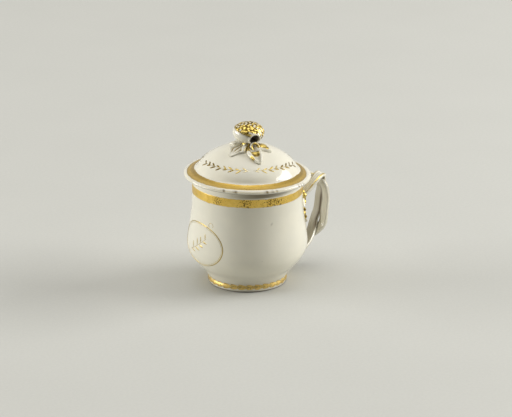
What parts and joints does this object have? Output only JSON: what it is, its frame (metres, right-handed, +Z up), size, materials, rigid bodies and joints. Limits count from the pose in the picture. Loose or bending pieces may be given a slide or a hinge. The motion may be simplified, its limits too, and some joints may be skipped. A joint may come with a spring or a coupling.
{
  "type": "covered cup",
  "caption": "Small gilded porcelain cup with an entwined strap handle and a loose domed cover that lifts off by a hollow fruit knop set among leaves.",
  "frame": {"origin": "centre of the foot ring's resting plane, on the axis that the cup was turned about", "axes": "+Z up along the cup's turning axis, +X towards the handle, +Y the side away from the viewer of the picture"},
  "size_m": [0.0835, 0.066, 0.0862],
  "materials": {
    "porcelain": "gloss",
    "gilded_porcelain": "satin"
  },
  "bodies": {
    "cup": {"cup_body": "porcelain", "handle_strap_near": "porcelain", "handle_strap_far": "porcelain", "upper_sprig_near": "gilded_porcelain", "upper_sprig_far": "gilded_porcelain", "lower_leaf_near": "gilded_porcelain", "lower_leaf_far": "gilded_porcelain"},
    "cover": {"cover_shell": "porcelain", "fruit_knop": "gilded_porcelain", "knop_stalk": "porcelain", "leaf_front": "gilded_porcelain", "leaf_front_left": "gilded_porcelain", "leaf_left": "gilded_porcelain", "leaf_right": "gilded_porcelain", "leaf_back_left": "gilded_porcelain", "leaf_back_right": "gilded_porcelain", "stalk_loop": "gilded_porcelain"}
  },
  "joints": [
    {"name": "cover_lift", "type": "slide", "parent": "cup", "child": "cover", "axis": [0.0314, 0, 0.9995], "range_m": [0, 0.06]}
  ]
}
